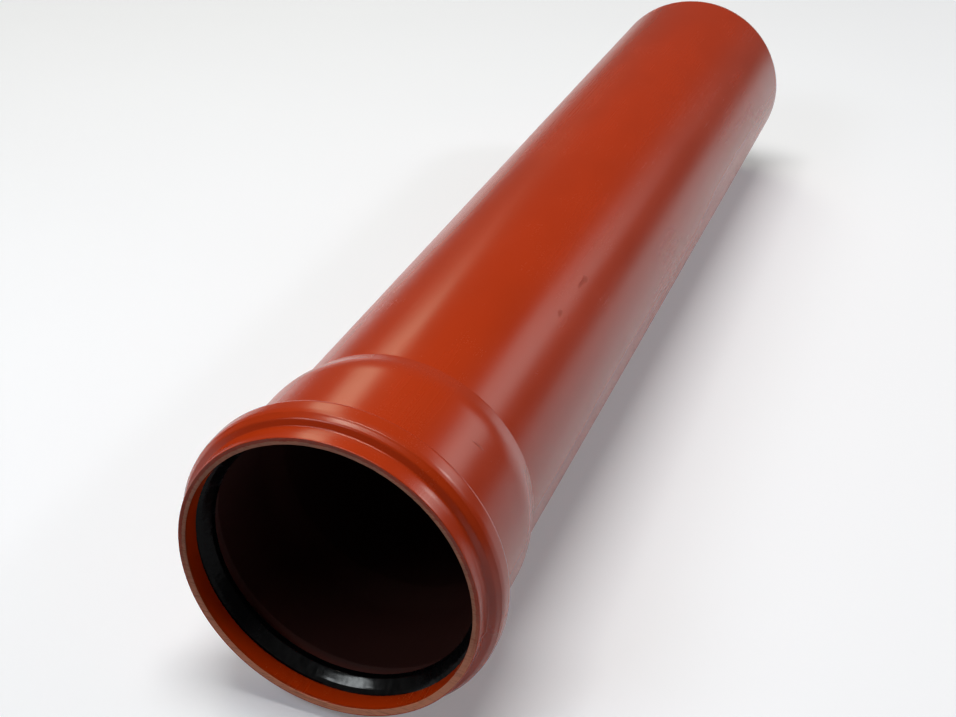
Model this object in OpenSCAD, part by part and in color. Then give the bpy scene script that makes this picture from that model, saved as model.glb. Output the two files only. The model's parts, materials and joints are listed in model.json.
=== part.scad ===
// Sewer pipe with a formed ring-seal socket, and the rubber ring in its groove.
// Each outline is drawn as [radius, distance from the mouth] and turned about the
// pipe's axis. The pipe then lies on its side, on the socket's bead and on the
// edge of the spigot, so its axis falls a little towards the spigot.

/* [Pipe] */
// Outside diameter of the barrel
pipe_od = 110; // [75:1:160]
// Wall of the barrel
pipe_wall = 3.2; // [2.6:0.1:5]
// Overall length, from the mouth to the spigot end
overall_l = 576; // [300:1:3000]

/* [Spigot] */
// Length of the chamfer around the spigot end
chamfer_l = 6; // [2:0.5:7]
// Angle of the chamfer to the barrel
chamfer_angle = 15; // [8:1:18]

/* [Socket] */
// Wall of the socket, a little thinned by forming
socket_wall = 3.1; // [2.4:0.1:4]
// Length of the straight lip outside the mouth
lip_l = 6.6; // [4:0.1:12]
// Radial clearance between the lip and a spigot
lip_clearance = 1.7; // [1:0.1:3]
// Radial clearance between the socket's guide and a spigot
guide_clearance = 0.5; // [0.2:0.1:0.8]
// Depth of the ring groove below the guide
groove_depth = 5.8; // [5:0.1:8]
// Length over which the bead rises behind the lip
bead_rise_l = 3.9; // [3:0.1:6]
// Length of the bead's crown, corner to corner
bead_crown_l = 7.9; // [7:0.1:14]
// Length over which the bead falls to the guide
bead_fall_l = 5.9; // [4:0.1:8]
// Length of the guide behind the bead
guide_l = 34.8; // [20:0.1:120]
// Length of the shoulder down to the barrel
shoulder_l = 12.4; // [10:0.1:20]

/* [Socket corners] */
// Radius outside where the lip meets the bead
lip_root_round = 2; // [0.5:0.1:3]
// Radius on the bead's front corner
bead_front_round = 4; // [2:0.1:5]
// Radius on the bead's back corner
bead_back_round = 3; // [2:0.1:5]
// Radius outside where the bead meets the guide
bead_root_round = 5; // [2:0.1:6]
// Radius on the shoulder's crown, at the guide
shoulder_crown_round = 25; // [6:1:30]
// Radius where the shoulder meets the barrel
shoulder_root_round = 4; // [1:0.1:7]
// Radius on the groove's front edge, inside the lip
groove_edge_round = 0.8; // [0.3:0.1:1.5]
// Radius on the groove's back edge, at the guide
guide_edge_round = 2; // [0.5:0.1:3]
// Radius in the floor corners of the groove
groove_floor_round = 1.2; // [0.5:0.1:1.5]

/* [Seal ring] */
// Radial squeeze of the ring's lip on a spigot
seal_squeeze = 2; // [1:0.1:2.5]
// Gap between the ring and its groove
seal_gap = 0.1; // [0.05:0.05:0.3]
// Length of the cylindrical land on the ring's lip
seal_land_l = 2.5; // [1.5:0.1:3]
// Distance from the ring's nose to the start of the land
seal_lead_l = 4.9; // [4:0.1:6]
// Radial depth of the ring's heel
seal_heel_depth = 2.4; // [2:0.1:3]

/* [Hidden] */
turn_facets = 96;
arc_steps = 6;

pipe_r = pipe_od / 2;
bore_r = pipe_r - pipe_wall;
chamfer_r = pipe_r - chamfer_l * tan(chamfer_angle);
spigot_edge = overall_l - chamfer_l;

// Radii outside the socket
lip_r = pipe_r + lip_clearance + socket_wall;
guide_r = pipe_r + guide_clearance + socket_wall;
bead_r = guide_r + groove_depth;

// Distances of the socket's corners from the mouth
bead_front = lip_l + bead_rise_l;
bead_back = bead_front + bead_crown_l;
guide_start = bead_back + bead_fall_l;
guide_end = guide_start + guide_l;
shoulder_end = guide_end + shoulder_l;

// Lying pose: the crown's back edge and the spigot's edge both touch the floor
fall_angle = atan2(groove_depth, bead_fall_l);
crown_back = bead_back - bead_back_round * tan(fall_angle / 2);
lie_angle = asin((bead_r - pipe_r) / (spigot_edge - crown_back));
mouth_height = pipe_r * cos(lie_angle) + spigot_edge * sin(lie_angle);
mouth_x = (overall_l * cos(lie_angle) + (chamfer_r - lip_r) * sin(lie_angle)) / 2;

// The socket's corners outside, from the mouth to the barrel
outside = [
    [lip_r, 0],
    [lip_r, lip_l],
    [bead_r, bead_front],
    [bead_r, bead_back],
    [guide_r, guide_start],
    [guide_r, guide_end],
    [pipe_r, shoulder_end],
    [pipe_r, spigot_edge],
];
outside_rounds = [
    lip_root_round, bead_front_round, bead_back_round,
    bead_root_round, shoulder_crown_round, shoulder_root_round,
];
inside_rounds = [
    groove_edge_round, groove_floor_round, groove_floor_round,
    guide_edge_round, shoulder_crown_round, shoulder_root_round,
];
last = len(outside) - 2;

function unit(v) = v / norm(v);

// Normal of the edge from a to b, on the side of the axis
function inward(a, b) = let (d = unit(b - a)) [-d.y, d.x];

// Corner b moved inward, by one wall along the edge before it and one along the next
function inset(a, b, c, wall, next_wall) =
    let (
        n = inward(a, b),
        m = inward(b, c),
        s = n * m
    )
    b + (n * (wall - next_wall * s) + m * (next_wall - wall * s)) / (1 - s * s);

inside = [
    for (i = [1 : last])
        inset(outside[i - 1], outside[i], outside[i + 1],
            socket_wall, i == last ? pipe_wall : socket_wall)
];

// Points of the arc of radius r that rounds the corner b between a and c
function rounded(a, b, c, r) =
    let (
        u = unit(a - b),
        w = unit(c - b),
        half = acos(u * w) / 2,
        centre = b + unit(u + w) * r / sin(half),
        start = b + u * r / tan(half) - centre,
        side = sign(u.x * w.y - u.y * w.x),
        turn = -side * (180 - 2 * half)
    )
    [
        for (i = [0 : arc_steps])
            let (t = turn * i / arc_steps)
            centre + [start.x * cos(t) - start.y * sin(t), start.x * sin(t) + start.y * cos(t)]
    ];

// The inner corners of a path rounded by their own radii, with its ends left out
function soften(path, rounds) = [
    for (i = [1 : len(path) - 2]) each rounded(path[i - 1], path[i], path[i + 1], rounds[i - 1])
];

function reversed(path) = [for (i = [len(path) - 1 : -1 : 0]) path[i]];

mouth_inside = [lip_r - socket_wall, 0];
spigot_inside = [bore_r, overall_l];
pipe_outline = concat(
    [outside[0]],
    soften(outside, outside_rounds),
    [[pipe_r, spigot_edge], [chamfer_r, overall_l], spigot_inside],
    reversed(soften(concat([mouth_inside], inside, [spigot_inside]), inside_rounds)),
    [mouth_inside]
);

// The groove's corners inside: front edge, floor front, floor back, guide edge
groove = [for (i = [0 : 3]) inside[i]];
function along(a, b, r) = a.y + (r - a.x) * (b.y - a.y) / (b.x - a.x);

// Where the ring meets the groove's front and back slopes at radius r, with its gap
rise_angle = atan2(bead_r - lip_r, bead_rise_l);
front_gap = seal_gap / sin(rise_angle);
back_gap = seal_gap / sin(fall_angle);
function ring_front(r) = along(groove[0], groove[1], r) + front_gap;
function ring_back(r) = along(groove[2], groove[3], r) - back_gap;

// The ring: a body that fills the groove, a nose behind the mouth's lip,
// and a sealing lip that leans in and back, free of the body behind it
ring_r = groove[1].x - seal_gap;
ring_round = 1.3;
heel_r = ring_r - seal_heel_depth;
heel_round = 0.7;
notch_r = heel_r - 1.2;
nose_r = groove[0].x + 0.9;
nose = ring_front(nose_r);
nose_round = 0.4;
throat_r = nose_r - 1.8;
throat = nose + 1.2;
throat_round = 1;
land_r = pipe_r - seal_squeeze;
land_start = nose + seal_lead_l;
land_end = land_start + seal_land_l;
notch = land_end - 0.6;
lip_tip_r = land_r + 1.3;
lip_tip = land_end + 0.9;
lip_tip_round = 0.4;
ring_corners = [
    // radius, distance from the mouth, rounding
    [ring_r, ring_front(ring_r), ring_round],
    [ring_r, ring_back(ring_r), ring_round],
    [heel_r, ring_back(heel_r), heel_round],
    [notch_r, notch, heel_round],
    [lip_tip_r, lip_tip, lip_tip_round],
    [land_r, land_end, 0],
    [land_r, land_start, 0],
    [throat_r, throat, throat_round],
    [nose_r, nose, nose_round],
];
ring_outline = [
    for (i = [0 : len(ring_corners) - 1])
        let (
            n = len(ring_corners),
            a = ring_corners[(i + n - 1) % n],
            b = ring_corners[i],
            c = ring_corners[(i + 1) % n]
        )
        each b[2] == 0 ? [[b.x, b.y]] : rounded([a.x, a.y], [b.x, b.y], [c.x, c.y], b[2])
];

// Turns an outline about the pipe's axis and lays it on the floor
module lying(outline) {
    translate([mouth_x, 0, mouth_height])
        rotate([0, -90 - lie_angle, 0])
            rotate_extrude($fn = turn_facets)
                polygon(outline);
}

module pipe() {
    color([0.67, 0.2, 0.08]) lying(pipe_outline);
}

module seal_ring() {
    color([0.05, 0.05, 0.055]) lying(ring_outline);
}

pipe();
seal_ring();
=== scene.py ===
"""Looks of a sewer pipe with a ring-seal socket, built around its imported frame."""
import json
import math
from functools import reduce

import bpy
from mathutils import Matrix, Vector


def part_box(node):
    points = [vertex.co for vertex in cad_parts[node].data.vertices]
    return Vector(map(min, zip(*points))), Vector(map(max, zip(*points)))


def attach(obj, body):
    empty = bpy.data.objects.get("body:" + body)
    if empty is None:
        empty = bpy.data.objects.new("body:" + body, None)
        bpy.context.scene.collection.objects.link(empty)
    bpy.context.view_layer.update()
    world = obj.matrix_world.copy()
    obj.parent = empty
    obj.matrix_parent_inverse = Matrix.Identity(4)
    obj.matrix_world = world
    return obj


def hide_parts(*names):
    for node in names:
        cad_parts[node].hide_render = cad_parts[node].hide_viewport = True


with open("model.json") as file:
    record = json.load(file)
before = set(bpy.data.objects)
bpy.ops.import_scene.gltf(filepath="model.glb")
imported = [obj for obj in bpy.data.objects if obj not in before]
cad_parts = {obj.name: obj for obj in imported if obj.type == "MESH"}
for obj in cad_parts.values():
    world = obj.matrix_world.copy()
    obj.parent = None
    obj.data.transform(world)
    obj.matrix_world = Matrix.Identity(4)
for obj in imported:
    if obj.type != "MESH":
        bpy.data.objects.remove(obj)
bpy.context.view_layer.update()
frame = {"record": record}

bl_info = {
    "name": "Sewer Pipe",
    "version": (1, 0, 0),
    "blender": (4, 5, 0),
    "location": "View3D > Sidebar > Sewer Pipe",
    "description": "Turns a sewer pipe and its rubber ring, and sets the studio around them",
    "category": "Object",
}

MM = 0.001
# Faces that meet at a smaller angle than this are shaded as one
CREASE_ANGLE = math.radians(38)
# Length that counts as the same point when a turned shape is closed
SAME_POINT = 1e-6
MOUNTS = {mount["name"]: mount for mount in frame["record"]["mounts"]}


def mount_radius(name):
    """Radius of a mount's wall, in metres"""
    return MOUNTS[name]["dims"]["r_mm"] * MM


# The pipe's axis, from the mouth towards the spigot, and how far it falls
AXIS = Vector(MOUNTS["spigot"]["axis"])
FALL = math.asin(-AXIS.z)
PIPE_RADIUS = mount_radius("spigot")
BORE_RADIUS = mount_radius("waterway")
LAND_RADIUS = mount_radius("socket")


# ---------------------------------------------------------------- properties

def length(name, description, default):
    """A length in metres"""
    return bpy.props.FloatProperty(
        name=name, description=description, default=default, min=0, unit="LENGTH", precision=6)


def angle(name, description, default):
    """An angle, given in degrees"""
    return bpy.props.FloatProperty(
        name=name, description=description, default=math.radians(default), unit="ROTATION")


def share(name, description, default):
    """A share from 0 to 1"""
    return bpy.props.FloatProperty(
        name=name, description=description, default=default, min=0, max=1, subtype="FACTOR")


def colour(name, description, default):
    """A scene linear colour"""
    return bpy.props.FloatVectorProperty(
        name=name, description=description, default=default, size=3, min=0, max=1, subtype="COLOR")


def count(name, description, default):
    """A whole number"""
    return bpy.props.IntProperty(
        name=name, description=description, default=default, min=1, subtype="UNSIGNED")


def number(name, description, default):
    """A plain number from 0 up"""
    return bpy.props.FloatProperty(
        name=name, description=description, default=default, min=0, subtype="UNSIGNED")


def vector(name, description, default, subtype):
    """A vector with as many parts as its default has"""
    return bpy.props.FloatVectorProperty(
        name=name, description=description, default=default, size=len(default), subtype=subtype)


class PipeSizes(bpy.types.PropertyGroup):
    """Sizes of the pipe and its socket"""
    barrel_radius: length("Barrel Radius", "Radius outside the barrel", PIPE_RADIUS)
    bore_radius: length("Bore Radius", "Radius inside the barrel", BORE_RADIUS)
    overall_length: length("Overall Length", "From the mouth to the spigot end", 576 * MM)
    chamfer_length: length("Chamfer Length", "Length of the chamfer around the spigot end", 6 * MM)
    chamfer_angle: angle("Chamfer Angle", "Angle of the chamfer to the barrel", 15)
    socket_wall: length("Socket Wall", "Wall of the socket", 3.1 * MM)
    lip_length: length("Lip Length", "Straight lip outside the mouth", 6.6 * MM)
    lip_clearance: length("Lip Clearance", "Between the lip and a spigot", 1.7 * MM)
    guide_clearance: length("Guide Clearance", "Between the guide and a spigot", 0.5 * MM)
    groove_depth: length("Groove Depth", "Depth of the ring groove below the guide", 5.8 * MM)
    bead_rise: length("Bead Rise", "Length over which the bead rises", 3.9 * MM)
    bead_crown: length("Bead Crown", "Length of the bead's crown", 7.9 * MM)
    bead_fall: length("Bead Fall", "Length over which the bead falls", 5.9 * MM)
    guide_length: length("Guide Length", "Length of the guide behind the bead", 34.8 * MM)
    shoulder_length: length("Shoulder Length", "Length of the shoulder", 12.4 * MM)
    mouth_face: length("Mouth Face", "Width of the flat inner part of the mouth's face", 1.5 * MM)
    lip_flare: length("Lip Flare", "How far the lip flares out towards the bead", 0.3 * MM)
    collar_drop: length("Collar Drop", "How far the bead's front step lies below its crown", 1.4 * MM)
    edge_bevel: length("Edge Bevel", "Bevel worn on the edges of the sawn ends", 0.22 * MM)
    saw_depth: length("Saw Mark Depth", "Depth of the marks on the sawn ends", 0.2 * MM)
    saw_size: length("Saw Mark Size", "Spacing of the marks on the sawn ends", 2.2 * MM)
    support: length("Support", "Distance of a row from each rounding", 1.2 * MM)
    row_step: length("Row Step", "Longest distance between rows", 40 * MM)
    fine_step: length("Fine Step", "Longest distance between rows on a sawn end", 0.45 * MM)
    turns: count("Turns", "Segments around the pipe", 480)
    corner_steps: count("Corner Steps", "Segments on each rounding", 7)


class RingSizes(bpy.types.PropertyGroup):
    """Sizes of the rubber ring"""
    land_radius: length("Land Radius", "Radius of the sealing lip's land", LAND_RADIUS)
    land_length: length("Land Length", "Length of the sealing lip's land", 2.5 * MM)
    lead_length: length("Lead Length", "From the nose to the land", 4.9 * MM)
    heel_depth: length("Heel Depth", "Radial depth of the heel", 2.4 * MM)
    gap: length("Gap", "Between the ring and its groove", 0.1 * MM)
    ripple_depth: length("Ripple Depth", "Depth of the ripples in the rubber", 0.05 * MM)
    ripple_size: length("Ripple Size", "Spacing of the ripples in the rubber", 9 * MM)
    nose_cover: length("Nose Cover", "How far the pipe's lip reaches in past the nose", 0.9 * MM)
    support: length("Support", "Distance of a row from each rounding", 0.3 * MM)
    row_step: length("Row Step", "Longest distance between rows", 1 * MM)
    turns: count("Turns", "Segments around the ring", 480)
    corner_steps: count("Corner Steps", "Segments on each rounding", 6)


class Finish(bpy.types.PropertyGroup):
    """Colours and gloss"""
    body_colour: colour("Body", "Orange-brown of the pipe", (0.37, 0.028, 0.0009))
    body_roughness: share("Body Roughness", "Roughness of the satin skin", 0.26)
    sawn_colour: colour("Sawn End", "Pale cut plastic", (0.34, 0.13, 0.075))
    # The dark outer band of the sawn face is painted strongest near the top, a painted shade
    dark_rim_colour: colour("Dark Rim Edge", "Dark outer half of the mouth's rim", (0.22, 0.026, 0.009))
    skin_ior: number("Skin IOR", "Index of refraction of the plastic", 1.42)
    skin_grain: length("Skin Grain", "Depth of the skin's fine unevenness", 0.002 * MM)
    # Painted light and shade inside the pipe: how much brighter the inside is painted near the lip, and how
    # dark deep inside
    lip_painted_light: number("Lip Gain", "Brightness of the skin inside the lip, where outside it is 1", 1.6)
    deep_painted_shade: share("Deep Gain", "Brightness of the skin deep inside, where outside it is 1", 0.08)
    deep_dull: share("Deep Dullness", "Roughness that the skin gains deep inside", 0.5)
    deep_start: length("Deep Start", "Distance from the mouth at which the inside starts to darken", 9 * MM)
    deep_end: length("Deep End", "Distance from the mouth at which the inside is darkest", 24 * MM)
    knock_dark: share("Knock Darkness", "How far the knocks darken the skin", 0.34)
    knock_depth: length("Knock Depth", "Depth of the knocks in the skin", 0.06 * MM)
    turned_depth: length("Turned Depth", "Depth of the rings turned into the chamfer", 0.06 * MM)
    cut_slope: share("Cut Slope", "How steeply the sawn face looks towards the axis", 0.45)
    cut_marks: length("Cut Marks", "Depth of the fine marks on the sawn ends", 0.12 * MM)
    cut_grain: length("Cut Grain", "Depth of the grain on the sawn ends", 0.05 * MM)
    dust_colour: colour("Dust", "Fine dust", (0.42, 0.3, 0.22))
    skin_dust: share("Skin Dust", "How much dust lies on the pipe", 0.03)
    ring_dust: share("Ring Dust", "How much dust lies on the ring", 0.01)
    rubber_colour: colour("Rubber", "Black of the ring", (0.0025, 0.0025, 0.003))
    rubber_roughness: share("Rubber Roughness", "Roughness of the wet rubber", 0.22)
    rubber_ior: number("Rubber IOR", "Index of refraction of the rubber", 1.15)
    rubber_grain: length("Rubber Grain", "Depth of the rubber's grain", 0.07 * MM)
    smear_depth: length("Smear Depth", "Thickness of the smears of lubricant", 0.05 * MM)
    wet_roughness: share("Wet Roughness", "Roughness of the lubricant", 0.12)
    floor_colour: colour("Floor", "Pale floor", (0.7, 0.755, 0.89))
    floor_far_shade: colour("Far Floor", "Floor far from the pipe", (0.6, 0.62, 0.65))
    floor_bounce: share("Floor Bounce", "Share of the floor's light that reaches the pipe", 0.65)
    floor_lift: share("Floor Lift", "Light that the floor near the pipe adds to what the eye sees", 0.16)
    far_lift: share("Far Lift", "Share of that light that is left far from the pipe", 0.5)


class Stage(bpy.types.PropertyGroup):
    """Camera, floor and lamps"""
    camera_ahead: length("Camera Ahead", "Distance of the camera in front of the mouth", 0.3869)
    camera_aside: length("Camera Aside", "Distance of the camera to the side of the axis", 0.1962)
    camera_above: length("Camera Above", "Height of the camera above the mouth's centre", 0.3531)
    camera_pitch: angle("Camera Pitch", "Angle that the camera looks down", 28.38)
    camera_heading: angle("Camera Heading", "Turn of the camera from +Y", 112.12)
    focal_length: number("Focal Length", "Focal length of the lens in mm", 57.6)
    shift: vector("Shift", "Lens shift across and up", (0.056, -0.073), "XYZ")
    lamp_target: vector("Lamp Target", "Point that every lamp faces", (0, 0, 0.1), "TRANSLATION")
    floor_size: length("Floor Size", "Width of the floor", 12)
    # The painted pool of light on the floor: where it lies, how far it reaches, and where it has faded to
    # painted grey
    light_pool_place: vector("Pool Place", "Middle of the palest part of the floor", (1.2, -0.1, 0), "TRANSLATION")
    pool_size: vector("Pool Size", "How far the palest part reaches each way", (2.0, 0.95, 1), "XYZ")
    light_pool_fade: number("Pool Fade", "Where the floor is grey, as a multiple of the pool's size", 1.5)
    room_light: share("Room Light", "Light that the room itself gives", 0.03)
    room_seen: share("Room Seen", "Brightness of the room to the eye", 0.1)


# ---------------------------------------------------------------- node helpers

class Nodes:
    """Adds nodes to a tree and joins them"""

    def __init__(self, tree):
        self.tree = tree

    def add(self, kind, *values, **settings):
        """A new node: values go to its inputs in order, and settings to its properties"""
        node = self.tree.nodes.new(kind)
        node.location = (200 * len(self.tree.nodes), 0)
        for name, value in settings.items():
            setattr(node, name, value)
        for socket, value in zip(node.inputs, values):
            self.put(socket, value)
        return node

    def put(self, socket, value):
        """Links or sets one socket, and leaves it alone for None"""
        if isinstance(value, bpy.types.NodeSocket):
            self.tree.links.new(value, socket)
        elif value is not None:
            socket.default_value = value

    def named(self, kind, inputs, **settings):
        """A new node whose inputs are given by name"""
        node = self.add(kind, **settings)
        for name, value in inputs.items():
            self.put(node.inputs[name], value)
        return node

    def math(self, operation, *values, clamp=False):
        """The result of a Math node"""
        return self.add("ShaderNodeMath", *values, operation=operation, use_clamp=clamp).outputs[0]

    def vector(self, operation, *values):
        """The result of a Vector Math node"""
        node = self.add("ShaderNodeVectorMath", *values, operation=operation)
        return node.outputs[1 if operation in {"LENGTH", "DOT_PRODUCT", "DISTANCE"} else 0]

    def scaled(self, value, low, high, to_low=0.0, to_high=1.0):
        """A value mapped smoothly from one range to another"""
        return self.add("ShaderNodeMapRange", value, low, high, to_low, to_high,
                        interpolation_type="SMOOTHSTEP").outputs[0]

    def mix(self, factor, a, b):
        """Two colours mixed, by the Mix node's own sockets for colours"""
        node = self.add("ShaderNodeMix", data_type="RGBA")
        for name, value in (("Factor_Float", factor), ("A_Color", rgba(a)), ("B_Color", rgba(b))):
            socket = next(item for item in node.inputs if item.identifier == name)
            self.put(socket, value)
        return next(item for item in node.outputs if item.identifier == "Result_Color")

    def effect(self, tree, **inputs):
        """The output of a node group"""
        return self.named("ShaderNodeGroup", inputs, node_tree=tree).outputs[0]

    def noise(self, place, scale, detail=2.0, roughness=0.5):
        """The value of a Noise Texture"""
        return self.named("ShaderNodeTexNoise", {
            "Vector": place, "Scale": scale, "Detail": detail, "Roughness": roughness,
        }).outputs[0]


def rgba(value):
    """A colour with its alpha, where it has none"""
    if isinstance(value, bpy.types.NodeSocket) or len(value) == 4:
        return value
    return (*value, 1.0)


def shaded(value, factor):
    """A colour made darker or lighter"""
    return tuple(min(part * factor, 1.0) for part in value)


def new_sockets(tree, inputs, outputs):
    """Gives a node tree its named inputs and outputs: (name, kind, default) and (name, kind)"""
    for name, kind, default in inputs:
        socket = tree.interface.new_socket(name, in_out="INPUT", socket_type="NodeSocket" + kind)
        if default is not None:
            socket.default_value = default
    for name, kind in outputs:
        tree.interface.new_socket(name, in_out="OUTPUT", socket_type="NodeSocket" + kind)


# ---------------------------------------------------------------- outlines

def inward(a, b):
    """Normal of the edge from a to b, on the side of the axis"""
    d = (b - a).normalized()
    return Vector((-d.y, d.x))


def inset(a, b, c, wall, next_wall):
    """Corner b moved inward, by one wall along the edge before it and one along the next"""
    n = inward(a, b)
    m = inward(b, c)
    s = n.dot(m)
    return b + (n * (wall - next_wall * s) + m * (next_wall - wall * s)) / (1 - s * s)


def lip_radius(sizes):
    """Radius outside the lip"""
    return sizes.barrel_radius + sizes.lip_clearance + sizes.socket_wall


def guide_radius(sizes):
    """Radius outside the guide"""
    return sizes.barrel_radius + sizes.guide_clearance + sizes.socket_wall


def socket_corners(sizes):
    """Corners outside the pipe as (radius, distance from the mouth), from the lip to the barrel"""
    lip = lip_radius(sizes)
    guide = guide_radius(sizes)
    bead = guide + sizes.groove_depth
    steps = (
        (lip, 0), (lip, sizes.lip_length), (bead, sizes.bead_rise), (bead, sizes.bead_crown),
        (guide, sizes.bead_fall), (guide, sizes.guide_length), (sizes.barrel_radius, sizes.shoulder_length),
    )
    corners = []
    along = 0
    for radius, step in steps:
        along += step
        corners.append(Vector((radius, along)))
    corners.append(Vector((sizes.barrel_radius, sizes.overall_length - sizes.chamfer_length)))
    return corners


def groove_corners(sizes):
    """Corners inside the pipe, from the lip to the barrel"""
    outside = socket_corners(sizes)
    corners = []
    for i in range(1, len(outside) - 1):
        last = i == len(outside) - 2
        next_wall = sizes.barrel_radius - sizes.bore_radius if last else sizes.socket_wall
        corners.append(inset(*outside[i - 1:i + 2], sizes.socket_wall, next_wall))
    return corners


# Marks the points inside the pipe; a sawn point is marked by its share of relief, from 0 to 1
INNER = -1

# Roundings inside, from the groove's front edge to the foot of the shoulder
INSIDE_ROUNDINGS = (0.8 * MM, 1.2 * MM, 1.2 * MM, 0.8 * MM, 25 * MM, 4 * MM)


def socket_outside(sizes):
    """Corners outside the socket: (radius, distance from the mouth, rounding, share sawn). The lip
    flares a little, and the bead rises in two steps: a low collar, then the crown"""
    lip, lip_end, front, back, root, guide_end, barrel = socket_corners(sizes)[:7]
    flare = sizes.lip_flare
    collar = sizes.collar_drop
    return [
        # The lip: where its flare starts, and where the bead rises from it
        (lip.x, lip_end.y - 2 * MM, 8 * MM, 0),
        (lip.x + flare, lip_end.y + 0.5 * MM, 0.9 * MM, 0),
        # The collar: its edge in front, and its top up to the step
        (front.x - 1.3 * collar, front.y - 2.2 * MM, 2 * MM, 0),
        (front.x - 0.6 * collar, front.y - 0.45 * MM, 0.7 * MM, 0),
        # The crown: the step below it, both its ends, and the bead's foot at the guide
        (front.x - 0.28 * collar, front.y + 0.2 * MM, 0.8 * MM, 0),
        (front.x, front.y + 2.1 * MM, 8 * MM, 0),
        (back.x, back.y, 3 * MM, 0),
        (root.x, root.y, 1 * MM, 0),
        # The shoulder
        (guide_end.x, guide_end.y, 40 * MM, 0),
        (barrel.x, barrel.y, 1.5 * MM, 0),
    ]


def pipe_outline(sizes):
    """The pipe's closed outline: (radius, distance from the mouth, rounding, share sawn)"""
    outside = socket_corners(sizes)
    inside = groove_corners(sizes)
    bevel = sizes.edge_bevel
    lip_outside = outside[0].x
    lip_inside = lip_outside - sizes.socket_wall
    end = sizes.overall_length
    chamfer = sizes.barrel_radius - sizes.chamfer_length * math.tan(sizes.chamfer_angle)
    ridge = lip_inside + sizes.mouth_face
    outline = [
        (ridge, 0, 0, 1),
        (lip_outside - 2 * bevel, 0, 0, 1),
        (lip_outside, 0, 1.5 * bevel, 0),
    ]
    outline += socket_outside(sizes)
    outline += [
        (sizes.barrel_radius, outside[-1].y, 0, 0),
        (chamfer, end - bevel / 2, 0, 0),
        (chamfer - bevel / 2, end, 0, 1),
        (sizes.bore_radius + bevel / 2, end, 0, 1),
        (sizes.bore_radius, end - bevel / 2, 0, INNER),
    ]
    outline += [(p.x, p.y, r, INNER) for p, r in zip(reversed(inside), reversed(INSIDE_ROUNDINGS))]
    outline += [(lip_inside, 2 * bevel, 0, 0), (lip_inside, bevel, 0, 1), (lip_inside + bevel, 0, 0, 1)]
    return outline


def along_edge(a, b, radius):
    """Distance from the mouth at which the edge from a to b has this radius"""
    return a.y + (radius - a.x) * (b.y - a.y) / (b.x - a.x)


def ring_outline(pipe, ring):
    """The ring's closed outline, seated in the pipe's groove: (radius, distance from the mouth,
    rounding, share of relief)"""
    groove = groove_corners(pipe)[:4]
    rise = math.atan2(groove[1].x - groove[0].x, groove[1].y - groove[0].y)
    fall = math.atan2(groove[2].x - groove[3].x, groove[3].y - groove[2].y)

    def front(radius):
        return along_edge(groove[0], groove[1], radius) + ring.gap / math.sin(rise)

    def back(radius):
        return along_edge(groove[2], groove[3], radius) - ring.gap / math.sin(fall)

    outer = groove[1].x - ring.gap
    heel = outer - ring.heel_depth
    nose = groove[0].x + ring.nose_cover
    start = front(nose)
    land = start + ring.lead_length
    land_end = land + ring.land_length
    return [
        # The body that fills the groove, and its heel at the back
        (outer, front(outer), 1.3 * MM, 1),
        (outer, back(outer), 1.3 * MM, 1),
        (heel, back(heel), 0.7 * MM, 1),
        # The notch that frees the sealing lip, and the lip's tip
        (heel - 1.2 * MM, land_end - 0.6 * MM, 0.7 * MM, 1),
        (ring.land_radius + 1.3 * MM, land_end + 0.9 * MM, 0.4 * MM, 1),
        # The land
        (ring.land_radius, land_end, 0.6 * MM, 1),
        (ring.land_radius, land, 1.5 * MM, 1),
        # The throat, and the nose behind the pipe's lip
        (nose - 1.8 * MM, start + 1.2 * MM, 1 * MM, 1),
        (nose, start, 0.4 * MM, 1),
    ]


def tangent_length(a, b, c, rounding):
    """How far from corner b its rounding starts"""
    if not rounding:
        return 0
    half = (a - b).angle(c - b) / 2
    return rounding / math.tan(half)


def with_rows(outline, support, step, fine):
    """The outline with a row beside each rounding, rows along its long stretches, and fine rows
    where it carries relief"""
    corners = [Vector(p[:2]) for p in outline]
    total = len(corners)
    rows = []
    for i, (radius, along, rounding, relief) in enumerate(outline):
        following = (i + 1) % total
        rows.append((radius, along, rounding, relief))
        start = tangent_length(corners[i - 1], corners[i], corners[following], rounding)
        end = tangent_length(corners[i], corners[following], corners[(i + 2) % total], outline[following][2])
        edge = corners[following] - corners[i]
        if relief and outline[following][3] and not start and not end:
            parts = math.ceil(edge.length / fine)
            points = [corners[i].lerp(corners[following], part / parts) for part in range(1, parts)]
            rows += [(point.x, point.y, 0, 1) for point in points]
            continue
        low = start + support
        high = edge.length - end - support
        if high - low < support:
            continue
        parts = math.ceil((high - low) / step)
        for part in range(parts + 1):
            point = corners[i] + edge.normalized() * (low + (high - low) * part / parts)
            rows.append((point.x, point.y, 0, INNER if INNER in (relief, outline[following][3]) else 0))
    return rows


def outline_object(name, rows):
    """A mesh of one closed line, with its roundings and relief kept on its points"""
    mesh = bpy.data.meshes.new(name)
    total = len(rows)
    mesh.from_pydata([(row[0], row[1], 0) for row in rows], [(i, (i + 1) % total) for i in range(total)], [])
    for attribute, column in (("rounding", 2), ("relief", 3)):
        values = mesh.attributes.new(attribute, "FLOAT", "POINT")
        values.data.foreach_set("value", [row[column] for row in rows])
    piece = bpy.data.objects.new(name, mesh)
    bpy.context.scene.collection.objects.link(piece)
    return piece


# ---------------------------------------------------------------- turned shapes

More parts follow.
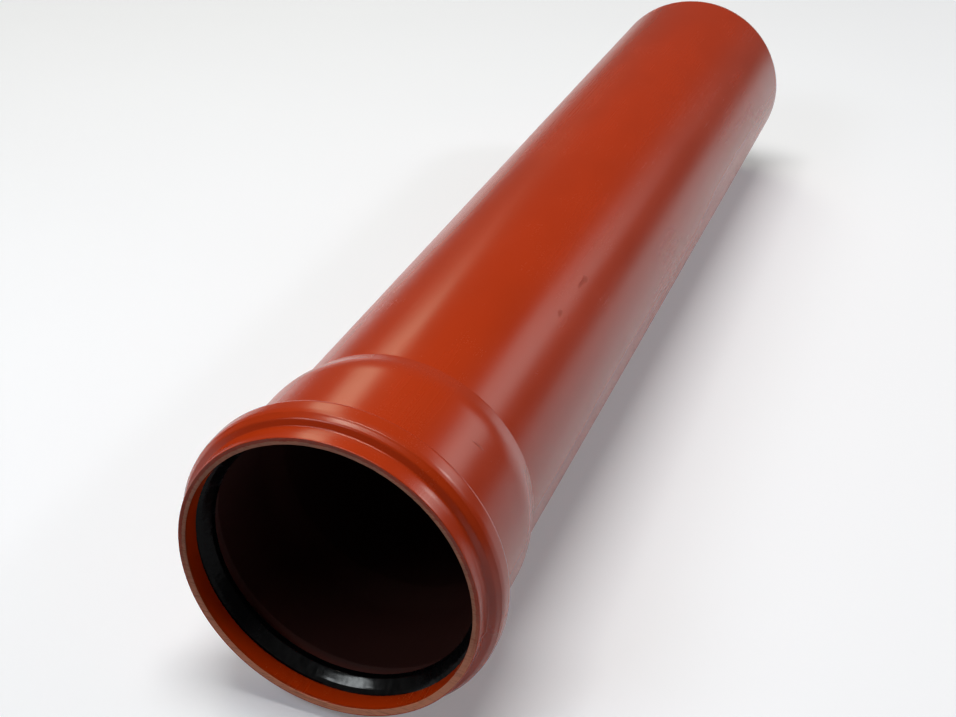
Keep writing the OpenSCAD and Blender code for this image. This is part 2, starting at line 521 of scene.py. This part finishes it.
def turned_shape_tree():
    """Geometry Nodes that round an outline's corners, turn it about the axis and lay it down"""
    tree = bpy.data.node_groups.new("Turned Shape", "GeometryNodeTree")
    new_sockets(tree, [
        ("Outline", "Geometry", None),
        ("Turns", "Int", 480),
        ("Corner Steps", "Int", 7),
        ("Turning Radius", "Float", 0.05),
        ("Relief Depth", "Float", 0.0),
        ("Relief Size", "Float", 0.002),
        ("Seed", "Float", 1.0),
        ("Mouth", "Vector", (0, 0, 0)),
        ("Fall", "Float", 0.0),
        ("Skin", "Material", None),
        ("Sawn", "Material", None),
    ], [("Shape", "Geometry")])
    n = Nodes(tree)
    given = n.add("NodeGroupInput").outputs
    rounding = n.add("GeometryNodeInputNamedAttribute", "rounding", data_type="FLOAT").outputs[0]
    relief = n.add("GeometryNodeInputNamedAttribute", "relief", data_type="FLOAT").outputs[0]

    # The outline, rounded, and shifted so that it can be swept along a circle
    line = n.add("GeometryNodeMeshToCurve", given["Outline"]).outputs[0]
    line = n.named("GeometryNodeFilletCurve", {
        "Curve": line, "Count": given["Corner Steps"], "Radius": rounding,
    }, mode="POLY").outputs[0]
    inwards = n.add("ShaderNodeCombineXYZ", n.math("MULTIPLY", given["Turning Radius"], -1.0)).outputs[0]
    line = n.named("GeometryNodeTransform", {"Geometry": line, "Translation": inwards}).outputs[0]
    circle = n.named("GeometryNodeCurvePrimitiveCircle", {
        "Resolution": given["Turns"], "Radius": given["Turning Radius"],
    }).outputs[0]
    circle = n.add("GeometryNodeSetCurveNormal", circle, mode="Z_UP").outputs[0]
    shape = n.named("GeometryNodeCurveToMesh", {"Curve": circle, "Profile Curve": line}).outputs[0]
    shape = n.named("GeometryNodeMergeByDistance", {"Geometry": shape, "Distance": SAME_POINT}).outputs[0]

    # Marks pressed into the parts that carry relief
    place = n.add("GeometryNodeInputPosition").outputs[0]
    normal = n.add("GeometryNodeInputNormal").outputs[0]
    stretched = n.vector("MULTIPLY", place, (1.0, 0.25, 1.0))
    shifted = n.add("ShaderNodeVectorMath", stretched, operation="ADD")
    n.put(shifted.inputs[1], n.add("ShaderNodeCombineXYZ", given["Seed"]).outputs[0])
    marks = n.noise(shifted.outputs[0], n.math("DIVIDE", 1.0, given["Relief Size"]), detail=3.0)
    share_sawn = n.math("MAXIMUM", relief, 0.0)
    depth = n.math("MULTIPLY", n.math("MULTIPLY", marks, share_sawn), given["Relief Depth"])
    pressed = n.add("ShaderNodeVectorMath", normal, operation="SCALE")
    n.put(pressed.inputs["Scale"], n.math("MULTIPLY", depth, -1.0))
    shape = n.named("GeometryNodeSetPosition", {
        "Geometry": shape, "Offset": pressed.outputs[0],
    }).outputs[0]

    # Crisp edges stay crisp
    bend = n.add("GeometryNodeInputMeshEdgeAngle").outputs[0]
    soft = n.add("FunctionNodeCompare", bend, CREASE_ANGLE, operation="LESS_THAN").outputs[0]
    shape = n.named("GeometryNodeSetShadeSmooth", {
        "Geometry": shape, "Shade Smooth": soft,
    }, domain="EDGE").outputs[0]

    turn = n.add("ShaderNodeCombineXYZ", 0.0, n.math("SUBTRACT", math.pi / 2, given["Fall"])).outputs[0]
    shape = n.named("GeometryNodeTransform", {
        "Geometry": shape, "Translation": given["Mouth"], "Rotation": turn,
    }).outputs[0]
    shape = n.add("GeometryNodeRealizeInstances", shape).outputs[0]
    shape = n.named("GeometryNodeSetMaterial", {"Geometry": shape, "Material": given["Skin"]}).outputs[0]
    sawn = n.add("FunctionNodeCompare", relief, 0.99, operation="GREATER_THAN").outputs[0]
    shape = n.named("GeometryNodeSetMaterial", {
        "Geometry": shape, "Selection": sawn, "Material": given["Sawn"],
    }).outputs[0]
    n.add("NodeGroupOutput", shape)
    return tree


def mouth_centre(sizes):
    """Centre of the mouth: where the axis meets the mouth's plane, from the frame"""
    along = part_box("pipe")[1].x - lip_radius(sizes) * math.sin(FALL)
    known = Vector(MOUNTS["spigot"]["pos_m"])
    return known + AXIS * ((along - known.x) / AXIS.x)


def turned_piece(name, rows, node, inputs):
    """Turns an outline into a finished piece that stands for a node"""
    source = outline_object(name + "_outline", rows)
    modifier = source.modifiers.new("Turned Shape", "NODES")
    modifier.node_group = bpy.data.node_groups.get("Turned Shape") or turned_shape_tree()
    for item in modifier.node_group.interface.items_tree:
        if item.item_type == "SOCKET" and item.name in inputs:
            modifier[item.identifier] = inputs[item.name]
    graph = bpy.context.evaluated_depsgraph_get()
    mesh = bpy.data.meshes.new_from_object(source.evaluated_get(graph))
    source.modifiers.clear()
    bpy.data.objects.remove(source)
    mesh.name = name
    piece = bpy.data.objects.new(name, mesh)
    bpy.context.scene.collection.objects.link(piece)
    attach(piece, "root")
    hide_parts(node)
    return piece


# ---------------------------------------------------------------- shader effects

def effect(name, inputs, output, fill):
    """A node group with one output, made once: fill(n, given) returns what it puts out"""
    tree = bpy.data.node_groups.get(name)
    if tree is None:
        tree = bpy.data.node_groups.new(name, "ShaderNodeTree")
        new_sockets(tree, inputs, [output])
        n = Nodes(tree)
        n.add("NodeGroupOutput", fill(n, n.add("NodeGroupInput").outputs))
    return tree


def mottle():
    """Soft patches, from 0 to 1"""
    def fill(n, given):
        place = n.vector("MULTIPLY", given["Vector"], given["Stretch"])
        patches = n.noise(place, n.math("DIVIDE", 1.0, given["Size"]), given["Detail"], 0.55)
        return n.scaled(patches, 0.3, 0.7)

    return effect("Mottle", [
        ("Vector", "Vector", None),
        ("Stretch", "Vector", (1, 1, 1)),
        ("Size", "Float", 0.02),
        ("Detail", "Float", 2.0),
    ], ("Value", "Float"), fill)


def grain():
    """Fine unevenness of a skin, in metres of height"""
    def fill(n, given):
        coarse = n.noise(given["Vector"], n.math("DIVIDE", 1.0, given["Size"]), 1.0)
        fine = n.noise(given["Vector"], n.math("DIVIDE", 5.0, given["Size"]), 2.0)
        mixed = n.math("ADD", coarse, n.math("MULTIPLY", fine, 0.2))
        return n.math("MULTIPLY", mixed, given["Height"])

    return effect("Fine Grain", [
        ("Vector", "Vector", None),
        ("Size", "Float", 0.002),
        ("Height", "Float", 0.00001),
    ], ("Height", "Float"), fill)


def scratches():
    """Thin sparse lines across a surface, as a mask"""
    def fill(n, given):
        turned = n.named("ShaderNodeMapping", {
            "Vector": given["Vector"], "Rotation": given["Turn"],
        }).outputs[0]
        place = n.vector("MULTIPLY", turned, (1.0, 1.0, 0.07))
        ridge = n.noise(place, n.math("DIVIDE", 1.0, given["Spacing"]), 1.0)
        line = n.scaled(n.math("ABSOLUTE", n.math("SUBTRACT", ridge, 0.5)), 0.0, given["Width"], 1.0, 0.0)
        where = n.noise(turned, n.math("DIVIDE", 0.35, given["Spacing"]), 1.0)
        limit = n.math("SUBTRACT", 0.72, n.math("MULTIPLY", given["Amount"], 0.3))
        return n.math("MULTIPLY", line, n.scaled(where, limit, n.math("ADD", limit, 0.08)))

    return effect("Scratches", [
        ("Vector", "Vector", None),
        ("Turn", "Vector", (0, 0, 0)),
        ("Spacing", "Float", 0.01),
        ("Width", "Float", 0.012),
        ("Amount", "Float", 0.3),
    ], ("Mask", "Float"), fill)


def nick():
    """One small knock at a place on the skin, as a mask with a ragged rim"""
    def fill(n, given):
        away = n.vector("SUBTRACT", given["Vector"], given["Place"])
        away = n.named("ShaderNodeMapping", {"Vector": away, "Rotation": given["Turn"]}).outputs[0]
        away = n.vector("DIVIDE", away, given["Half Size"])
        rim = n.noise(given["Vector"], 900.0, 2.0)
        reach = n.math("ADD", n.vector("LENGTH", away), n.math("MULTIPLY", n.math("SUBTRACT", rim, 0.5), 1.3))
        return n.scaled(reach, 0.55, 1.25, 1.0, 0.0)

    return effect("Nick", [
        ("Vector", "Vector", None),
        ("Place", "Vector", (0, 0, 0)),
        ("Turn", "Vector", (0, 0, 0)),
        ("Half Size", "Vector", (0.001, 0.001, 0.003)),
    ], ("Mask", "Float"), fill)


def dust():
    """Fine dust that settles on whatever faces up, as a mask"""
    def fill(n, given):
        specks = n.noise(given["Vector"], 1600.0, 2.0, 0.7)
        film = n.noise(given["Vector"], 45.0, 3.0, 0.6)
        settled = n.math("MULTIPLY", n.scaled(specks, 0.5, 0.75), n.scaled(film, 0.35, 0.7))
        settled = n.math("MULTIPLY", settled, n.scaled(given["Facing"], 0.2, 1.0))
        return n.math("MULTIPLY", settled, given["Amount"])

    return effect("Dust", [
        ("Vector", "Vector", None),
        ("Facing", "Float", 1.0),
        ("Amount", "Float", 0.2),
    ], ("Mask", "Float"), fill)


# ---------------------------------------------------------------- materials

def new_material(name):
    """An empty node material, and the helper that fills it"""
    material = bpy.data.materials.new(name)
    material.use_nodes = True
    material.node_tree.nodes.clear()
    return material, Nodes(material.node_tree)


def pipe_place(n):
    """Object coordinates turned into the pipe's own: Z runs out of the mouth, X down"""
    coordinates = n.add("ShaderNodeTexCoord").outputs["Object"]
    return n.named("ShaderNodeMapping", {
        "Vector": coordinates,
        "Location": mouth_centre(bpy.context.scene.pipe_sizes),
        "Rotation": (0, math.pi / 2 - FALL, 0),
    }, vector_type="TEXTURE").outputs[0]


def knock(n, place, radius, turn, along, half_width, half_length, tilt=0):
    """One knock on the skin, as a mask: its angle from the top and its tilt in degrees, and its
    distance from the mouth and its half width and half length in mm"""
    turn = math.radians(turn)
    spot = (-radius * math.cos(turn), radius * math.sin(turn), -along * MM)
    # Ample up and down, so that the mark reaches through the sloping skin
    half_size = (4 * MM, half_width * MM, half_length * MM)
    return n.effect(nick(), Vector=place, Place=spot, Turn=(math.radians(tilt), 0, 0),
                    **{"Half Size": half_size})


def round_place(n, place):
    """Distance from the axis, distance from the mouth, and distance below the axis"""
    x, y, z = n.add("ShaderNodeSeparateXYZ", place).outputs
    radius = n.math("SQRT", n.math("ADD", n.math("MULTIPLY", x, x), n.math("MULTIPLY", y, y)))
    return radius, n.math("MULTIPLY", z, -1.0), x


def finish_material(n, colour_value, roughness, height, **constants):
    """The material's bump from a height in metres, its Principled BSDF and its output"""
    normal = n.named("ShaderNodeBump", {"Height": height, "Distance": 1.0}).outputs[0]
    shader = n.named("ShaderNodeBsdfPrincipled", {
        "Base Color": rgba(colour_value), "Roughness": roughness, "Normal": normal,
        **{name.replace("_", " "): value for name, value in constants.items()},
    })
    n.add("ShaderNodeOutputMaterial", shader.outputs[0])
    return shader


def satin_plastic():
    """The pipe's skin: drawn lengthwise, slightly mottled and knocked in places, with painted light inside
    the lip and painted shade deeper in
    """
    finish = bpy.context.scene.pipe_finish
    sizes = bpy.context.scene.pipe_sizes
    material, n = new_material("Satin Plastic")
    place = pipe_place(n)
    radius, along, down = round_place(n, place)
    end = sizes.overall_length - sizes.chamfer_length

    # Patches of colour, and marks drawn along the pipe as it came out of the die
    patches = n.effect(mottle(), Vector=place, Size=0.045, Detail=3.0, Stretch=(1, 1, 0.4))
    drawn = n.effect(mottle(), Vector=place, Size=0.0022, Detail=2.0, Stretch=(1, 1, 0.012))
    colour_value = n.mix(patches, shaded(finish.body_colour, 0.95), shaded(finish.body_colour, 1.05))
    colour_value = n.mix(n.math("MULTIPLY", drawn, 0.02), colour_value, shaded(finish.body_colour, 0.7))

    # Painted light: the whole inside is painted brighter than outside, so the lip looks lit; deeper in it is
    # painted dark, a painted shade, and made dull, as hardly any light gets there
    inside = n.math("MULTIPLY", n.add("ShaderNodeAttribute", attribute_name="relief").outputs["Fac"], -1.0)
    inside = n.math("MAXIMUM", inside, 0.0)
    deep = n.math("MULTIPLY", inside, n.scaled(along, finish.deep_start, finish.deep_end))
    colour_value = n.mix(inside, colour_value, shaded(finish.body_colour, finish.lip_painted_light))
    colour_value = n.mix(deep, colour_value, shaded(finish.body_colour, finish.deep_painted_shade))

    # The chamfer is turned after the pipe is drawn: paler, with fine rings
    outside = n.scaled(radius, sizes.bore_radius + 0.8 * MM, sizes.bore_radius + 1.2 * MM)
    turned = n.math("MULTIPLY", n.scaled(along, end - 0.1 * MM, end + 0.1 * MM), outside)
    rings = n.noise(n.vector("MULTIPLY", place, (0.02, 0.02, 1)), 2600.0, 2.0)
    colour_value = n.mix(n.math("MULTIPLY", turned, 0.5), colour_value, finish.sawn_colour)

    # Small knocks, and a little dust
    barrel = sizes.barrel_radius
    guide = guide_radius(sizes)
    knocks = [
        knock(n, place, barrel, turn=43.2, along=186, half_width=0.6, half_length=5.5, tilt=1),
        knock(n, place, barrel, turn=43.6, along=190, half_width=1.2, half_length=2.4),
        knock(n, place, barrel, turn=43, along=155, half_width=0.8, half_length=2.4, tilt=2),
        knock(n, place, guide, turn=44.8, along=45, half_width=1.7, half_length=0.6, tilt=20),
    ]
    knocks = reduce(lambda one, other: n.math("MAXIMUM", one, other), knocks)
    darkened = n.math("MULTIPLY", knocks, finish.knock_dark)
    colour_value = n.mix(darkened, colour_value, shaded(finish.body_colour, 0.35))
    side = n.math("SUBTRACT", n.math("MULTIPLY", inside, 2.0), 1.0)
    facing = n.math("MULTIPLY", n.math("DIVIDE", down, radius), side)
    film = n.effect(dust(), Vector=place, Facing=facing, Amount=finish.skin_dust)
    colour_value = n.mix(film, colour_value, finish.dust_colour)

    roughness = n.math("ADD", finish.body_roughness - 0.04, n.math("MULTIPLY", patches, 0.05))
    roughness = n.math("ADD", roughness, n.math("MULTIPLY", drawn, 0.015))
    roughness = n.math("ADD", roughness, n.math("MULTIPLY", deep, finish.deep_dull))
    roughness = n.math("ADD", roughness, n.math("MULTIPLY", n.math("MAXIMUM", turned, knocks), 0.2))
    roughness = n.math("ADD", roughness, film, clamp=True)

    height = n.effect(grain(), Vector=place, Size=3.2 * MM, Height=finish.skin_grain)
    height = n.math("ADD", height, n.math("MULTIPLY", drawn, 0.0003 * MM))
    cut = n.math("MULTIPLY", n.math("MULTIPLY", rings, turned), finish.turned_depth)
    height = n.math("ADD", height, cut)
    height = n.math("SUBTRACT", height, n.math("MULTIPLY", knocks, finish.knock_depth))
    finish_material(n, colour_value, roughness, height, IOR=finish.skin_ior)
    return material


def sawn_plastic():
    """Cut plastic: dull, with saw marks and a darker red outer half. Painted shade keeps that dark band
    strongest near the top, and painted light makes the face paler low down"""
    finish = bpy.context.scene.pipe_finish
    sizes = bpy.context.scene.pipe_sizes
    material, n = new_material("Sawn Plastic")
    place = pipe_place(n)
    radius, _, down = round_place(n, place)
    ridge = sizes.barrel_radius + sizes.lip_clearance + sizes.mouth_face

    marks = n.noise(n.vector("MULTIPLY", place, (1, 0.12, 1)), 1500.0, 3.0, 0.6)
    patches = n.effect(mottle(), Vector=place, Size=0.006, Detail=4.0)
    wander = n.math("MULTIPLY", n.math("SUBTRACT", n.noise(place, 700.0, 3.0), 0.5), 1.1 * MM)
    outer = n.scaled(n.math("ADD", radius, wander), ridge - 0.15 * MM, ridge + 0.15 * MM)
    colour_value = n.mix(patches, shaded(finish.sawn_colour, 0.8), shaded(finish.sawn_colour, 1.15))
    worn = n.mix(patches, finish.dark_rim_colour, shaded(finish.dark_rim_colour, 1.5))
    # Painted shade: the dark outer band is full on the upper half and only a quarter as strong low down
    outer = n.math("MULTIPLY", outer, n.scaled(down, -0.01, 0.035, 1.0, 0.25))
    colour_value = n.mix(outer, colour_value, worn)
    # Painted light: low down the sawn face is painted much paler, for light that falls on it there
    painted_low_light = n.scaled(down, -0.01, 0.05, 0.0, 0.85)
    colour_value = n.mix(painted_low_light, colour_value, shaded(finish.sawn_colour, 2.1))
    colour_value = n.mix(n.scaled(marks, 0.45, 0.75, 0.0, 0.5), colour_value, shaded(finish.dark_rim_colour, 0.7))

    roughness = n.math("ADD", 0.55, n.math("MULTIPLY", patches, 0.15))
    roughness = n.math("ADD", roughness, n.math("MULTIPLY", marks, 0.15), clamp=True)
    height = n.math("MULTIPLY", marks, finish.cut_marks)
    height = n.math("ADD", height, n.effect(grain(), Vector=place, Size=0.8 * MM, Height=finish.cut_grain))
    # The cut is rubbed down towards the bore
    height = n.math("ADD", height, n.math("MULTIPLY", radius, finish.cut_slope))
    finish_material(n, colour_value, roughness, height, IOR=finish.skin_ior)
    return material


def wet_rubber():
    """Black rubber with a wet, streaky film of lubricant"""
    finish = bpy.context.scene.pipe_finish
    material, n = new_material("Wet Rubber")
    place = pipe_place(n)
    radius, _, down = round_place(n, place)
    patches = n.effect(mottle(), Vector=place, Size=0.012, Detail=3.0)
    smears = n.effect(mottle(), Vector=place, Size=0.003, Detail=3.0, Stretch=(1, 1, 0.3))
    lines = n.effect(scratches(), Vector=place, Turn=(0.7, 0.4, 0), Spacing=0.008, Amount=0.4)
    colour_value = n.mix(patches, shaded(finish.rubber_colour, 0.75), shaded(finish.rubber_colour, 1.3))
    film = n.effect(dust(), Vector=place, Facing=n.math("DIVIDE", down, radius), Amount=finish.ring_dust)
    colour_value = n.mix(film, colour_value, finish.dust_colour)
    roughness = n.math("ADD", finish.rubber_roughness - 0.07, n.math("MULTIPLY", smears, 0.16))
    roughness = n.math("ADD", roughness, n.math("MULTIPLY", lines, 0.2), clamp=True)
    height = n.effect(grain(), Vector=place, Size=1.8 * MM, Height=finish.rubber_grain)
    height = n.math("ADD", height, n.math("MULTIPLY", smears, finish.smear_depth))
    # The lubricant has run down to the lowest part
    pooled = n.scaled(down, 0.7 * LAND_RADIUS, 0.95 * LAND_RADIUS)
    wet = n.math("MULTIPLY", n.math("ADD", 0.4, n.math("MULTIPLY", smears, 0.6)), pooled)
    shader = finish_material(n, colour_value, roughness, height, IOR=finish.rubber_ior, Coat_Weight=wet)
    shader.inputs["Coat Roughness"].default_value = finish.wet_roughness
    return material


def seen_rays(n):
    """1 for what the eye, a reflection or a clear piece sees, and 0 for light that bounces"""
    seen = n.add("ShaderNodeLightPath").outputs
    both = n.math("ADD", seen["Is Camera Ray"], seen["Is Glossy Ray"])
    return n.math("ADD", both, seen["Is Transmission Ray"], clamp=True)


def pale_floor():
    """Pale matt floor, a little cloudy, painted as a pool of light around the pipe that falls off to a
    painted grey shade far from it, and glowing a little to the eye near the pipe
    """
    finish = bpy.context.scene.pipe_finish
    stage = bpy.context.scene.pipe_stage
    material, n = new_material("Pale Floor")
    place = n.add("ShaderNodeTexCoord").outputs["Object"]
    patches = n.effect(mottle(), Vector=place, Size=0.4, Detail=3.0)
    pool = n.named("ShaderNodeMapping", {
        "Vector": place, "Location": stage.light_pool_place, "Scale": stage.pool_size,
    }, vector_type="TEXTURE").outputs[0]
    far = n.scaled(n.vector("LENGTH", pool), 1.0, stage.light_pool_fade)
    seen = seen_rays(n)
    colour_value = n.mix(patches, shaded(finish.floor_colour, 0.985), finish.floor_colour)
    # Painted pool of light: the floor is pale near the pipe and painted grey far from it
    colour_value = n.mix(far, colour_value, finish.floor_far_shade)
    colour_value = n.mix(seen, shaded(finish.floor_colour, finish.floor_bounce), colour_value)
    kept = n.math("SUBTRACT", 1.0, n.math("MULTIPLY", far, 1.0 - finish.far_lift))
    lift = n.math("MULTIPLY", n.math("MULTIPLY", seen, kept), finish.floor_lift)
    height = n.effect(grain(), Vector=place, Size=4 * MM, Height=0.02 * MM)
    shader = finish_material(n, colour_value, 0.8, height)
    n.put(shader.inputs["Emission Color"], n.mix(lift, (0, 0, 0), (1, 1, 1)))
    shader.inputs["Emission Strength"].default_value = 1.0
    return material


# ---------------------------------------------------------------- operators

class SEWER_OT_pipe(bpy.types.Operator):
    """Turn the pipe with its socket"""
    bl_idname = "sewer.pipe"
    bl_label = "Pipe"

    def execute(self, context):
        sizes = context.scene.pipe_sizes
        rows = with_rows(pipe_outline(sizes), sizes.support, sizes.row_step, sizes.fine_step)
        turned_piece("pipe_body", rows, "pipe", {
            "Turns": sizes.turns,
            "Corner Steps": sizes.corner_steps,
            "Relief Depth": sizes.saw_depth,
            "Relief Size": sizes.saw_size,
            "Mouth": mouth_centre(sizes),
            "Fall": FALL,
            "Skin": satin_plastic(),
            "Sawn": sawn_plastic(),
        })
        return {"FINISHED"}


class SEWER_OT_ring(bpy.types.Operator):
    """Turn the rubber ring in its groove"""
    bl_idname = "sewer.ring"
    bl_label = "Rubber Ring"

    def execute(self, context):
        sizes = context.scene.pipe_sizes
        ring = context.scene.ring_sizes
        rubber = wet_rubber()
        rows = with_rows(ring_outline(sizes, ring), ring.support, ring.row_step, ring.row_step)
        turned_piece("rubber_ring", rows, "seal_ring", {
            "Turns": ring.turns,
            "Corner Steps": ring.corner_steps,
            "Relief Depth": ring.ripple_depth,
            "Relief Size": ring.ripple_size,
            "Mouth": mouth_centre(sizes),
            "Fall": FALL,
            "Skin": rubber,
            "Sawn": rubber,
        })
        return {"FINISHED"}


def softbox(name, ahead, aside, above, turn, size, width, strength, tint=(1, 1, 1)):
    """An area lamp placed from the mouth's centre, that faces the pipe. Its first side is turned
    about the vertical by degrees, and strength is the brightness of its face, where 1 is white"""
    scene = bpy.context.scene
    place = mouth_centre(scene.pipe_sizes) + Vector((ahead, aside, above))
    turn = math.radians(turn)
    data = bpy.data.lights.new(name, "AREA")
    data.shape = "RECTANGLE"
    data.size, data.size_y = size, width
    data.energy = strength * math.pi * size * width
    data.color = tint
    lamp = bpy.data.objects.new(name, data)
    facing = (place - Vector(scene.pipe_stage.lamp_target)).normalized()
    along = Vector((math.cos(turn), math.sin(turn), 0))
    along = (along - facing * along.dot(facing)).normalized()
    rotation = Matrix((along, facing.cross(along), facing)).transposed()
    lamp.matrix_world = Matrix.Translation(place) @ rotation.to_4x4()
    scene.collection.objects.link(lamp)


def dim_world(stage):
    """A dim room: what is seen of it is a little lighter than the light it gives"""
    world = bpy.data.worlds.new("world")
    bpy.context.scene.world = world
    world.use_nodes = True
    n = Nodes(world.node_tree)
    strength = n.scaled(seen_rays(n), 0.0, 1.0, stage.room_light, stage.room_seen)
    n.put(world.node_tree.nodes["Background"].inputs["Strength"], strength)
    n.put(world.node_tree.nodes["Background"].inputs["Color"], (1, 1, 1, 1))


class SEWER_OT_stage(bpy.types.Operator):
    """Set the floor, lamps and camera"""
    bl_idname = "sewer.stage"
    bl_label = "Stage"

    def execute(self, context):
        scene = context.scene
        stage = scene.pipe_stage
        mouth = mouth_centre(scene.pipe_sizes)
        floor_mesh = bpy.data.meshes.new("floor")
        half = stage.floor_size / 2
        corners = [(-half, -half, 0), (half, -half, 0), (half, half, 0), (-half, half, 0)]
        floor_mesh.from_pydata(corners, [], [(0, 1, 2, 3)])
        floor_mesh.materials.append(pale_floor())
        floor = bpy.data.objects.new("floor", floor_mesh)
        scene.collection.objects.link(floor)
        camera_data = bpy.data.cameras.new("camera")
        camera_data.lens = stage.focal_length
        camera_data.shift_x, camera_data.shift_y = stage.shift
        camera = bpy.data.objects.new("camera", camera_data)
        camera.location = mouth + Vector((stage.camera_ahead, stage.camera_aside, stage.camera_above))
        camera.rotation_euler = (math.pi / 2 - stage.camera_pitch, 0, stage.camera_heading)
        scene.collection.objects.link(camera)
        scene.camera = camera
        softbox("overhead", ahead=-0.144, aside=-0.162, above=1.83, turn=20,
                size=0.47, width=1.12, strength=17.5, tint=(1, 0.92, 0.78))
        softbox("left", ahead=-1.287, aside=-0.9, above=1.456, turn=25,
                size=1.67, width=0.46, strength=3.1, tint=(1, 0.93, 0.65))
        softbox("right", ahead=-2.02, aside=1.564, above=1.1, turn=16,
                size=1.57, width=0.7, strength=1.9, tint=(1, 0.97, 0.94))
        softbox("side", ahead=-1.09, aside=1.04, above=0.86, turn=0,
                size=0.3, width=0.1, strength=32, tint=(1, 0.95, 0.9))
        softbox("front", ahead=0.54, aside=-0.5, above=0.85, turn=60,
                size=0.55, width=0.28, strength=6, tint=(0.92, 0.98, 1))
        dim_world(stage)
        scene.view_settings.view_transform = "Standard"
        return {"FINISHED"}


class SEWER_PT_panel(bpy.types.Panel):
    """Lists the pieces and the stage"""
    bl_idname = "SEWER_PT_panel"
    bl_label = "Sewer Pipe"
    bl_space_type = "VIEW_3D"
    bl_region_type = "UI"
    bl_category = "Sewer Pipe"

    def draw(self, context):
        for operator in OPERATORS:
            self.layout.operator(operator.bl_idname)


OPERATORS = (SEWER_OT_pipe, SEWER_OT_ring, SEWER_OT_stage)
GROUPS = {"pipe_sizes": PipeSizes, "ring_sizes": RingSizes, "pipe_finish": Finish, "pipe_stage": Stage}


def register():
    for cls in (*GROUPS.values(), *OPERATORS, SEWER_PT_panel):
        bpy.utils.register_class(cls)
    for name, group in GROUPS.items():
        setattr(bpy.types.Scene, name, bpy.props.PointerProperty(type=group))


def unregister():
    for name in GROUPS:
        delattr(bpy.types.Scene, name)
    for cls in reversed((*GROUPS.values(), *OPERATORS, SEWER_PT_panel)):
        bpy.utils.unregister_class(cls)


def main():
    """Builds the pieces and the stage"""
    register()
    bpy.ops.sewer.pipe()
    bpy.ops.sewer.ring()
    bpy.ops.sewer.stage()


if __name__ == "__main__":
    main()
